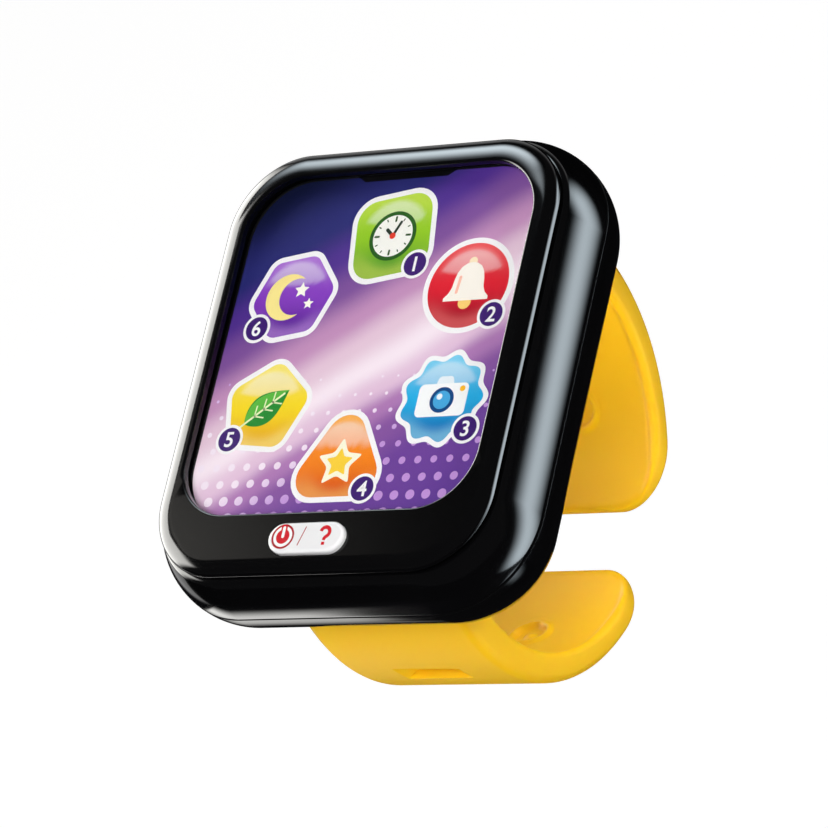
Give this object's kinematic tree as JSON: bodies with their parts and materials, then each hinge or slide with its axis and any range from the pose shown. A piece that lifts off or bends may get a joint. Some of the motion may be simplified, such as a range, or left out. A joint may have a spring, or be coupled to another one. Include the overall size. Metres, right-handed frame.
{
  "type": "toy watch",
  "caption": "Toy wrist watch with a rounded glossy case, a printed dial behind a clear lens, a pill-shaped push button, a battery door and a sprung cuff strap for pretend play.",
  "frame": {"origin": "centre of the flat back face, the side that lies on the wrist", "axes": "+X to the right of the dial, +Y towards 12 o'clock, +Z out of the dial"},
  "size_m": [0.0548, 0.064, 0.0588],
  "materials": {
    "case_black": "piano-gloss moulded ABS",
    "lens_clear": "clear polished lens",
    "dial_print": "colour-printed card",
    "film_amber": "printed sensor film",
    "button_white": "glossy white moulding",
    "switch_grey": "moulded switch plastic",
    "board_green": "solder-masked board",
    "chip_resin": "black potting resin",
    "lamp_resin": "cast lamp resin",
    "speaker_steel": "plated steel",
    "cone_film": "formed film",
    "gasket_foam": "foam gasket",
    "lead_red": "wire insulation",
    "cell_steel": "nickel-plated can",
    "contact_brass": "plated spring strip",
    "screw_steel": "zinc-plated steel",
    "strap_yellow": "satin moulded soft plastic"
  },
  "bodies": {
    "case": {"front_bezel": "case_black", "mid_case": "case_black", "back_cover": "case_black", "screen_lens": "lens_clear", "dial_card": "dial_print", "touch_film": "film_amber", "tact_switch": "switch_grey", "circuit_board": "board_green", "chip_blob": "chip_resin", "lamps": "lamp_resin", "speaker_frame": "speaker_steel", "speaker_magnet": "speaker_steel", "speaker_cone": "cone_film", "speaker_gasket": "gasket_foam", "speaker_leads": "lead_red", "cell_left": "cell_steel", "cell_middle": "cell_steel", "cell_right": "cell_steel", "contact_minus": "contact_brass", "contact_plus": "contact_brass", "contact_link": "contact_brass", "case_screws": "screw_steel", "upper_bar": "screw_steel", "lower_bar": "screw_steel"},
    "button": {"button_cap": "button_white", "switch_plunger": "switch_grey"},
    "upper_strap": {"upper_arm": "strap_yellow"},
    "lower_strap": {"lower_arm": "strap_yellow"},
    "door": {"battery_door": "case_black", "door_link": "contact_brass", "door_screw": "screw_steel"}
  },
  "joints": [
    {"name": "button_press", "type": "slide", "parent": "case", "child": "button", "axis": [0, 0, -1], "range_m": [0, 0.0006], "stiffness_N_per_m": 600, "springref_m": -0.0015},
    {"name": "upper_strap_hinge", "type": "hinge", "parent": "case", "child": "upper_strap", "pos_m": [0, 0.025, 0.0027], "axis": [1, 0, 0], "range_deg": [0, 30], "stiffness_Nm_per_rad": 0.5, "springref_deg": -8.59},
    {"name": "lower_strap_hinge", "type": "hinge", "parent": "case", "child": "lower_strap", "pos_m": [0, -0.025, 0.0027], "axis": [-1, 0, 0], "range_deg": [0, 30], "stiffness_Nm_per_rad": 0.5, "springref_deg": -8.59},
    {"name": "door_lift", "type": "slide", "parent": "case", "child": "door", "axis": [0, 0, -1], "range_m": [0, 0.012]}
  ]
}
